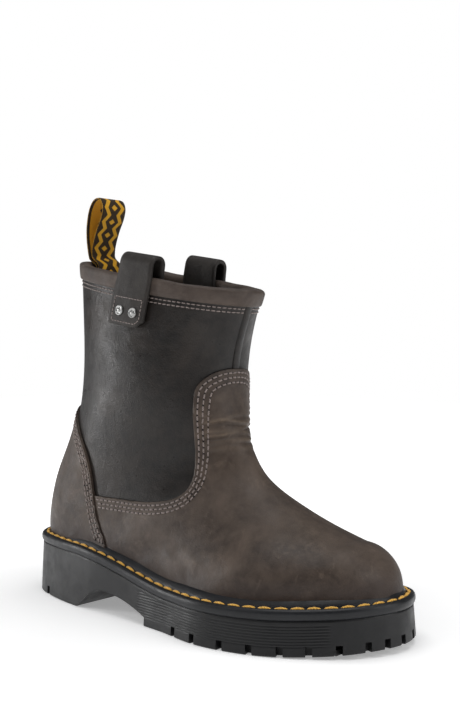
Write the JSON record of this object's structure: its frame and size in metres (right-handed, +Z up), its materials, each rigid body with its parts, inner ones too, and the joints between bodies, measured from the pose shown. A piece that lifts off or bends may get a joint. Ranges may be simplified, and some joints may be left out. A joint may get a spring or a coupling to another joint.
{
  "type": "steel toe work boot",
  "caption": "Slip-on leather work boot for the right foot, with a steel toe cap inside, side pull straps, a heel pull loop and a thick stitched rubber sole.",
  "frame": {"origin": "middle of the boot's box, on the floor it stands on", "axes": "+X towards the toe, +Y towards the inner (medial) side of the foot, +Z up"},
  "size_m": [0.3186, 0.1232, 0.2999],
  "materials": {
    "vamp_leather": "waxed grain leather, worn, satin",
    "quarter_leather": "smooth dark leather, satin",
    "collar_leather": "soft padded leather, matt",
    "strap_leather": "thick dark leather, matt",
    "sole_rubber": "moulded black rubber, satin",
    "welt_thread": "waxed amber thread",
    "lining_fabric": "brushed textile",
    "loop_webbing": "woven black tape with an amber pattern",
    "felt": "pressed felt",
    "board": "leatherboard",
    "foam": "closed cell foam",
    "toe_steel": "pressed steel, powder coated",
    "rivet_metal": "nickel plated"
  },
  "bodies": {
    "root": {"outsole": "sole_rubber", "welt": "sole_rubber", "welt_thread": "welt_thread", "shank": "toe_steel", "bottom_filler": "board", "heel_cushion": "foam", "insole_board": "board", "vamp": "vamp_leather", "heel_panel": "vamp_leather", "toe_cap": "toe_steel", "toe_cap_bead": "felt", "interlining": "felt", "heel_counter": "board", "vamp_lining": "lining_fabric", "quarter_lateral": "quarter_leather", "quarter_medial": "quarter_leather", "shaft_lining": "lining_fabric", "collar_band": "collar_leather", "front_seam_tape": "quarter_leather", "back_seam_tape": "quarter_leather", "pull_strap_lateral": "strap_leather", "rivet_lateral_rear": "rivet_metal", "rivet_burr_lateral_rear": "rivet_metal", "rivet_lateral_front": "rivet_metal", "rivet_burr_lateral_front": "rivet_metal", "pull_strap_medial": "strap_leather", "rivet_medial_rear": "rivet_metal", "rivet_burr_medial_rear": "rivet_metal", "rivet_medial_front": "rivet_metal", "rivet_burr_medial_front": "rivet_metal", "heel_loop_tail": "loop_webbing"},
    "heel_loop": {"heel_loop": "loop_webbing"},
    "footbed": {"footbed_foam": "foam", "footbed_cover": "lining_fabric"}
  },
  "joints": [
    {"name": "heel_loop_tilt", "type": "hinge", "parent": "root", "child": "heel_loop", "pos_m": [-0.11065, 0.00592, 0.25497], "axis": [0, 1, 0], "range_deg": [-60, 60], "stiffness_Nm_per_rad": 0.02},
    {"name": "footbed_lift", "type": "hinge", "parent": "root", "child": "footbed", "pos_m": [0.1422, 0.0059, 0.0359], "axis": [0, 1, 0], "range_deg": [0, 3]}
  ]
}
